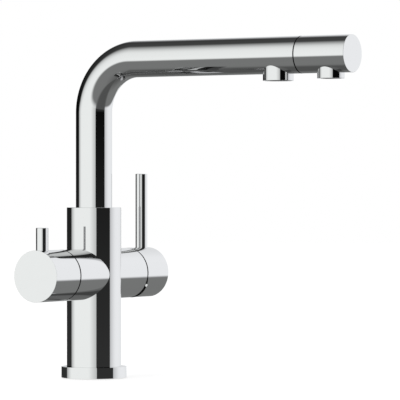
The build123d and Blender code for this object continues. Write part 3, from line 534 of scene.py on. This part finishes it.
class Wire:
    """A socket of a node tree that can be worked out with."""

    def __init__(self, net, socket):
        self.net, self.socket = net, socket

    def math(self, operation, *others):
        """The operation on this and the others, in that order."""
        return self.net.node("ShaderNodeMath", {"operation": operation}, dict(enumerate((self, *others))))

    def __add__(self, other):
        return self.math("ADD", other)

    def __sub__(self, other):
        return self.math("SUBTRACT", other)

    def __rsub__(self, other):
        return self.net.node("ShaderNodeMath", {"operation": "SUBTRACT"}, {0: other, 1: self})

    def __mul__(self, other):
        return self.math("MULTIPLY", other)

    def __truediv__(self, other):
        return self.math("DIVIDE", other)

    __radd__, __rmul__ = __add__, __mul__

    def between(self, low, high, start=0.0, end=1.0, kind="LINEAR"):
        """Runs from start to end as this goes from low to high, and stays there outside."""
        values = {0: self, 1: low, 2: high, 3: start, 4: end}
        return self.net.node("ShaderNodeMapRange", {"interpolation_type": kind}, values)

    def softly(self, low, high, start=0.0, end=1.0):
        """As between, but slow at both ends."""
        return self.between(low, high, start, end, "SMOOTHSTEP")


class Net:
    """The nodes of one material or of the world."""

    def __init__(self, owner):
        owner.use_nodes = True
        self.tree = owner.node_tree
        self.tree.nodes.clear()

    def node(self, kind, settings=None, values=None, output=0):
        """Makes a node, sets it up, fills or links its inputs and gives one of its outputs."""
        made = self.tree.nodes.new(kind)
        for name, value in (settings or {}).items():
            if name == "stops":
                colours = made.color_ramp
                colours.elements[0].position, colours.elements[1].position = value[0][0], value[-1][0]
                for place, _ in value[1:-1]:
                    colours.elements.new(place)
                for stop, (_, grey) in zip(colours.elements, value):
                    stop.color = (grey, grey, grey, 1)
            else:
                setattr(made, name, value)
        for key, value in (values or {}).items():
            if isinstance(value, Wire):
                self.tree.links.new(value.socket, made.inputs[key])
            else:
                made.inputs[key].default_value = value
        return Wire(self, made.outputs[output]) if len(made.outputs) else None

    def place(self):
        """Place on the piece, in metres."""
        return self.node("ShaderNodeTexCoord", output=3)

    def noise(self, scale, detail=2.0):
        """Smooth noise from 0 to 1 with so many waves per metre."""
        values = {"Vector": self.place(), "Scale": scale, "Detail": detail}
        return self.node("ShaderNodeTexNoise", None, values)

    def ramp(self, stops, where):
        """A grey that follows the stops, each a place from 0 to 1 and the grey there."""
        return self.node("ShaderNodeValToRGB", {"stops": stops}, {0: where})

    def blend(self, factor, first, second):
        """One colour going over into another."""
        values = {0: factor, 6: (*first, 1), 7: (*second, 1)}
        return self.node("ShaderNodeMix", {"data_type": "RGBA"}, values, output=2)

    def bump(self, height, depth, strength):
        """Normal of a surface whose relief is height times depth metres."""
        return self.node("ShaderNodeBump", None, {"Strength": strength, "Distance": depth, "Height": height})

    def finish(self, **values):
        """The closing shader, its sockets named with _ for a space."""
        values = {name.replace("_", " "): value for name, value in values.items()}
        shader = self.node("ShaderNodeBsdfPrincipled", None, values)
        self.node("ShaderNodeOutputMaterial", None, {"Surface": shader})


# Finishes


def chrome_finish(name, light, dark):
    """Bright chrome plate: a mirror with the faintest haze of handling and polishing."""
    material = bpy.data.materials.new(name)
    net = Net(material)
    haze = net.noise(22.0, 3.0)
    fine = net.noise(900.0)
    net.finish(
        Base_Color=net.blend(haze, light, dark),
        Metallic=1.0,
        Roughness=haze.between(0.35, 0.75, 0.012, 0.035) + fine * 0.006,
        Normal=net.bump(fine, 0.0000008, 0.2),
    )
    return material


def metal_finish(name, light, dark, low, high):
    """Turned bare metal: fine tool marks, and stains that dull it from low to high roughness."""
    material = bpy.data.materials.new(name)
    net = Net(material)
    stain = net.noise(120.0, 4.0)
    marks = net.noise(2600.0)
    net.finish(
        Base_Color=net.blend(stain.between(0.35, 0.7), light, dark),
        Metallic=1.0,
        Roughness=stain.between(0.3, 0.75, low, high) + marks * 0.06,
        Normal=net.bump(marks, 0.00002, 0.5),
    )
    return material


def moulded_finish(name, light, dark, rough, grain, depth):
    """Moulded plastic, rubber or fired ceramic: even colour, a fine grain, dust in the hollows."""
    material = bpy.data.materials.new(name)
    net = Net(material)
    cloud = net.noise(90.0, 3.0)
    fine = net.noise(grain, 3.0)
    net.finish(
        Base_Color=net.blend(cloud.between(0.3, 0.7) * 0.7 + fine * 0.3, light, dark),
        Roughness=rough + cloud.between(0.3, 0.7, -0.06, 0.06) + fine * 0.05,
        Normal=net.bump(fine, depth, 0.6),
    )
    return material


CHROME = chrome_finish("bright_chrome", (0.604, 0.604, 0.606), (0.595, 0.596, 0.599))
# Inner faces of the chrome skins, such as the bores, the barrels' pockets, the mixer handle's rim face in its
# gap and the faces at the spout's seam: unpolished and rough, and near black as painted shade for the dark
# gaps and seams
DULL_INNER_PAINTED_SHADE = metal_finish("dull_inner_painted_shade", (0.10, 0.10, 0.10), (0.05, 0.05, 0.05), 0.45, 0.65)
BRASS = metal_finish("turned_brass", (0.83, 0.64, 0.33), (0.66, 0.47, 0.22), 0.22, 0.38)
STEEL = metal_finish("turned_steel", (0.66, 0.66, 0.67), (0.50, 0.50, 0.52), 0.24, 0.40)
RUBBER = moulded_finish("black_rubber", (0.030, 0.030, 0.031), (0.018, 0.018, 0.018), 0.62, 1800.0, 0.00003)
CERAMIC = moulded_finish("lapped_ceramic", (0.90, 0.90, 0.88), (0.84, 0.84, 0.81), 0.20, 3000.0, 0.000004)
CARTRIDGE = moulded_finish("cartridge_plastic", (0.80, 0.80, 0.78), (0.73, 0.73, 0.70), 0.45, 1400.0, 0.00002)
INSERT = moulded_finish("insert_plastic", (0.16, 0.16, 0.17), (0.12, 0.12, 0.125), 0.42, 1500.0, 0.00002)
HOSE = moulded_finish("hose_plastic", (0.86, 0.88, 0.90), (0.80, 0.82, 0.84), 0.35, 900.0, 0.00001)

BY_SLOT = {
    "chrome": CHROME, "brass": BRASS, "rubber": RUBBER, "ceramic": CERAMIC, "cartridge_plastic": CARTRIDGE,
    "insert_plastic": INSERT, "hose_plastic": HOSE, "steel": STEEL,
}
for part in frame["record"]["subparts"]:
    node = frame["nodes"][part["node"]]
    node.data.materials.clear()
    node.data.materials.append(BY_SLOT[part["material_slot"]])

SKINS = [
    ring_skin, housing_skin, nut_skin, mixer_handle_skin, filter_handle_skin, mixer_lever_skin,
    filter_lever_skin, tube_skin, head_skin, mixer_collar_skin, filter_collar_skin,
]
# Each skin: polished chrome, and on its inner faces the unpolished finish whose near-black colour is painted
# shade
for skin in SKINS:
    skin.data.materials.append(CHROME)
    skin.data.materials.append(DULL_INNER_PAINTED_SHADE)
glide_ring.data.materials.append(INSERT)

# Camera: metres, and the lens and the film in millimetres

TO_CAMERA = np.array([0.56377, -0.82594])       # level direction from the tap's axis
TO_RIGHT = np.array([0.82594, 0.56377])         # the picture's right
CAMERA_AWAY, CAMERA_Z = 2.5050, 0.1573
AIM_ASIDE, AIM_DOWN = radians(2.009), radians(0.2434)
LENS, FILM_WIDTH = 272.0, 36.0
NEAREST, FARTHEST = 0.1, 50.0

scene = bpy.context.scene
camera = bpy.data.objects.new("camera", bpy.data.cameras.new("camera"))
scene.collection.objects.link(camera)
scene.camera = camera
camera.data.lens, camera.data.sensor_width = LENS, FILM_WIDTH
camera.data.clip_start, camera.data.clip_end = NEAREST, FARTHEST
heading = np.arctan2(-TO_CAMERA[1], -TO_CAMERA[0]) - AIM_ASIDE
camera.location = (*(TO_CAMERA * CAMERA_AWAY), CAMERA_Z)
camera.rotation_euler = (pi / 2 - AIM_DOWN, 0.0, heading - pi / 2)

# Sky and floor, in metres

WHITE = (1, 1, 1, 1)
SKY_ON_TAP = 0.70               # strength of the sky as a light; where it is seen it is 1
FLOOR_Z, FLOOR_R = -0.0006, 6.0
FLOOR_PAINT = ((0.42,) * 3, (0.41,) * 3)
FLOOR_GLOW = 0.72               # the floor's own light, for the rays that see the background


def flat_disc(name, radius, height, sides=96):
    """A level disc of triangles round its centre."""
    t = np.linspace(0, 2 * pi, sides + 1)[:-1]
    ring = np.stack([radius * np.cos(t), radius * np.sin(t), t * 0 + height], axis=1)
    points = np.vstack([ring, [[0, 0, height]]])
    i = np.arange(sides)
    faces = np.stack([i, (i + 1) % sides, i * 0 + sides], axis=1)
    mesh = bpy.data.meshes.new(name)
    mesh.from_pydata(points.tolist(), [], faces.tolist())
    disc = bpy.data.objects.new(name, mesh)
    scene.collection.objects.link(disc)
    return disc


def background_rays(net):
    """1 for rays from the camera, off a mirror or through glass, which all see the background."""
    kinds = ("Is Camera Ray", "Is Glossy Ray", "Is Transmission Ray")
    from_camera, off_mirror, through = (net.node("ShaderNodeLightPath", output=kind) for kind in kinds)
    return (from_camera + off_mirror + through).between(0.0, 1.0)


# World: white behind the tap, and a soft even light from all round
scene.world = bpy.data.worlds.new("studio")
sky_net = Net(scene.world)
sky_strength = background_rays(sky_net).between(0, 1, SKY_ON_TAP, 1.0)
sky = sky_net.node("ShaderNodeBackground", None, {"Color": WHITE, "Strength": sky_strength})
sky_net.node("ShaderNodeOutputWorld", None, {"Surface": sky})

# Floor: white, and a little darker where the tap's shadow falls. The chrome shows the studio's
# grey table in its place.
floor = flat_disc("floor", FLOOR_R, FLOOR_Z)
floor.visible_glossy = False
floor_paint = bpy.data.materials.new("white_floor")
floor_net = Net(floor_paint)
seen = background_rays(floor_net)
mottle = floor_net.noise(3.0)
lit = floor_net.node("ShaderNodeBsdfDiffuse", None, {"Color": floor_net.blend(mottle, *FLOOR_PAINT)})
glow = floor_net.node("ShaderNodeEmission", None, {"Color": WHITE, "Strength": seen * FLOOR_GLOW})
both = floor_net.node("ShaderNodeAddShader", None, {0: lit, 1: glow})
floor_net.node("ShaderNodeOutputMaterial", None, {"Surface": both})
floor.data.materials.append(floor_paint)

# The studio that the chrome mirrors: its radius in metres, the lights' strengths and tints, the
# table's greys and what the lights add to them, and what the walls gain away from the far side

STUDIO_R = 30.0
LEFT_LIGHT, RIGHT_LIGHT, OVERHEAD_LIGHT, BOARDS = 0.952, 0.937, 0.8, 0.70
LEFT_TINT, RIGHT_TINT = (0.977, 1.0, 0.988), (0.967, 0.982, 1.0)
TABLE_GREYS, TABLE_SHEEN = (0.086, 0.091), 0.107
SIDE_GAIN, SIDE_GAIN_POWER = 0.442, 0.35
NO_LIGHT = 0.001                # keeps the tint from a division by nought where neither light is


def walls(sides=96, bands=48):
    """The studio's walls and table, which only the chrome shows: a wide sphere round the tap.

    A point at the angle a round the sphere and b above the level lies at R cos b cos a,
    R cos b sin a, R sin b.
    """
    rows = bands - 1
    turns, heights = np.linspace(0, 2 * pi, sides + 1)[:-1], np.linspace(-pi / 2, pi / 2, bands + 1)[1:-1]
    a, b = np.meshgrid(turns, heights)
    points = STUDIO_R * np.stack([np.cos(b) * np.cos(a), np.cos(b) * np.sin(a), np.sin(b)], axis=-1)
    points = np.vstack([points.reshape(-1, 3), [[0, 0, -STUDIO_R], [0, 0, STUDIO_R]]])
    low, top = rows * sides, rows * sides + 1
    row, c = np.meshgrid(np.arange(rows - 1) * sides, np.arange(sides), indexing="ij")
    beside = (c + 1) % sides
    quads = np.stack([row + c, row + sides + c, row + sides + beside, row + beside], axis=-1)
    c, last = np.arange(sides), (rows - 1) * sides
    caps = np.stack([c, (c + 1) % sides, c * 0 + low], axis=1).tolist()
    caps += np.stack([last + (c + 1) % sides, last + c, c * 0 + top], axis=1).tolist()
    mesh = bpy.data.meshes.new("studio_walls")
    mesh.from_pydata(points.tolist(), [], quads.reshape(-1, 4).tolist() + caps)
    panel = bpy.data.objects.new("studio_walls", mesh)
    scene.collection.objects.link(panel)
    for ray in ("camera", "diffuse", "transmission", "shadow", "volume_scatter"):
        setattr(panel, "visible_" + ray, False)
    return panel


studio_walls = walls()
wall_light = bpy.data.materials.new("studio_walls")
wall_net = Net(wall_light)


def along_level(direction):
    """How far a point of the walls lies along a level direction, in metres."""
    vectors = {0: wall_net.place(), 1: (*direction, 0.0)}
    return wall_net.node("ShaderNodeVectorMath", {"operation": "DOT_PRODUCT"}, vectors, output="Value")


# Bearing and rise are degrees round from the camera's side, positive to the picture's right, and
# degrees up. Around is the bearing counted from 0 to 360.
toward, aside = along_level(TO_CAMERA), along_level(TO_RIGHT)
height = wall_net.node("ShaderNodeSeparateXYZ", None, {0: wall_net.place()}, output="Z")
bearing = aside.math("ARCTAN2", toward) * degrees(1.0)
rise = (height / STUDIO_R).math("ARCSINE") * degrees(1.0)
around = (bearing + 360.0).math("MODULO", 360.0)


def left_light():
    """A broad light on the left with a sharp end on the right.

    Its left end is sharp at the level and spreads out higher up, and its top fades away.
    """
    at_level = bearing.softly(-116.0, -84.0, 0.4, 1.0) * bearing.between(-111.8, -109.2)
    low = wall_net.ramp(
        [
            (0.0, 0.0), (0.12, 0.004), (0.20, 0.08), (0.29, 0.54), (0.37, 0.69), (0.54, 0.86),
            (0.72, 0.96), (1.0, 1.0),
        ],
        bearing.between(-119.0, -62.0),
    )
    high = wall_net.ramp(
        [
            (0.0, 0.0), (0.125, 0.008), (0.22, 0.045), (0.32, 0.19), (0.52, 0.49), (0.71, 0.72),
            (0.91, 0.94), (1.0, 1.0),
        ],
        bearing.between(-124.0, -73.0),
    )
    climb, top = rise.between(2.0, 6.5), rise.between(10.0, 47.0)
    left_end = at_level * (1.0 - climb) + (low * (1.0 - top) + high * top) * climb
    dimmer, right_end = bearing.between(-19.0, 10.0, 1.0, 0.575), bearing.between(9.4, 10.2, 1.0, 0.0)
    upward = wall_net.ramp(
        [
            (0.08, 1.0), (0.25, 0.975), (0.34, 0.94), (0.42, 0.865), (0.47, 0.82), (0.53, 0.74),
            (0.58, 0.65), (0.64, 0.54), (0.70, 0.38), (0.82, 0.0),
        ],
        rise / 90.0,
    )
    foot = bearing.between(-42.0, -22.0, -11.7, -10.4)
    return left_end * dimmer * right_end * upward * rise.softly(foot - 5.0, foot + 5.0)


def right_light():
    """A light behind on the right, up to straight behind the tap."""
    right_end = wall_net.ramp(
        [(0.0, 0.0), (0.045, 0.60), (0.165, 0.70), (0.34, 0.815), (0.58, 0.945), (0.82, 1.0)],
        around.between(70.6, 112.6),
    )
    dimmer, past = around.between(135.0, 180.0, 1.0, 0.84), around.between(179.0, 197.0, 1.0, 0.0)
    foot, top = rise.softly(-14.2, -7.8), rise.between(38.0, 75.0, 1.0, 0.15)
    return right_end * dimmer * past * past * foot * top


def table_and_dark_walls():
    """The table is grey, and lighter where it mirrors the lights; past it the walls are dark."""
    left_sheen = bearing.softly(-118.0, -88.0) * bearing.softly(4.0, 21.0, 1.0, 0.0)
    left_sheen = left_sheen * rise.between(-85.0, -52.0, 0.28, 1.0)
    right_sheen = around.softly(64.0, 82.0) * around.softly(175.0, 200.0, 1.0, 0.0)
    right_sheen = right_sheen * rise.between(-78.0, -46.0, 0.2, 1.0)
    table = wall_net.noise(0.1).between(0.3, 0.7, *TABLE_GREYS) + (left_sheen + right_sheen) * TABLE_SHEEN
    dark = rise.between(-3.2, 2.2, 0.031, 0.0022) + rise.between(4.0, 60.0, 0.0, 0.054)
    on_table = rise.between(-5.6, -4.6, 1.0, 0.0)
    return dark * (1.0 - on_table) + table * on_table


def overhead_light():
    """One more soft light, from 79 degrees up, and from 34 degrees lower on the picture's right."""
    to_the_right = around.softly(0.0, 25.0) * around.softly(125.0, 160.0, 1.0, 0.0)
    hung = 79.0 - to_the_right * 34.0
    return rise.softly(hung, hung + 8.0)


def boards():
    """Two pale boards on the table on the far side, for the views from there."""
    on_left = bearing.between(-168.0, -162.0) * bearing.between(-100.0, -92.0, 1.0, 0.0)
    on_right = bearing.between(153.0, 155.0) * bearing.between(161.0, 163.0, 1.0, 0.0)
    return (on_left + on_right) * rise.between(-23.0, -20.0) * rise.between(-12.0, -10.0, 1.0, 0.0)


left, right = left_light(), right_light()
lights = left + right
colour = wall_net.blend(right / (lights + NO_LIGHT), LEFT_TINT, RIGHT_TINT)
level = table_and_dark_walls() * (1.0 - lights) + left * LEFT_LIGHT + right * RIGHT_LIGHT
for cover, strength in ((overhead_light(), OVERHEAD_LIGHT), (boards(), BOARDS)):
    level = level * (1.0 - cover) + cover * strength
# Straight behind the tap the walls are dimmer, because chrome mirrors them best there
to_the_side = toward.between(-STUDIO_R, -0.5 * STUDIO_R).math("POWER", SIDE_GAIN_POWER)
level = level * (1.0 + to_the_side * SIDE_GAIN)
walls_glow = wall_net.node("ShaderNodeEmission", None, {"Color": colour, "Strength": level})
wall_net.node("ShaderNodeOutputMaterial", None, {"Surface": walls_glow})
studio_walls.data.materials.append(wall_light)

# A square lamp above, which faces the tap and doesn't show in the chrome: metres and watts

LAMP_PLACE, LAMP_AIM = (-0.4, -0.9, 2.4), (0.08, 0.0, 0.12)
LAMP_SIZE, LAMP_POWER = 1.8, 26.0

lamp_light = bpy.data.lights.new("overhead_lamp", "AREA")
lamp_light.shape, lamp_light.size, lamp_light.energy = "SQUARE", LAMP_SIZE, LAMP_POWER
lamp = bpy.data.objects.new("overhead_lamp", lamp_light)
scene.collection.objects.link(lamp)
away = np.array(LAMP_PLACE) - np.array(LAMP_AIM)
lean = np.arctan2(np.hypot(away[0], away[1]), away[2])
lamp.location = LAMP_PLACE
lamp.rotation_euler = (lean, 0.0, np.arctan2(away[1], away[0]) + pi / 2)
lamp.visible_glossy = False

scene.view_settings.view_transform = "Standard"
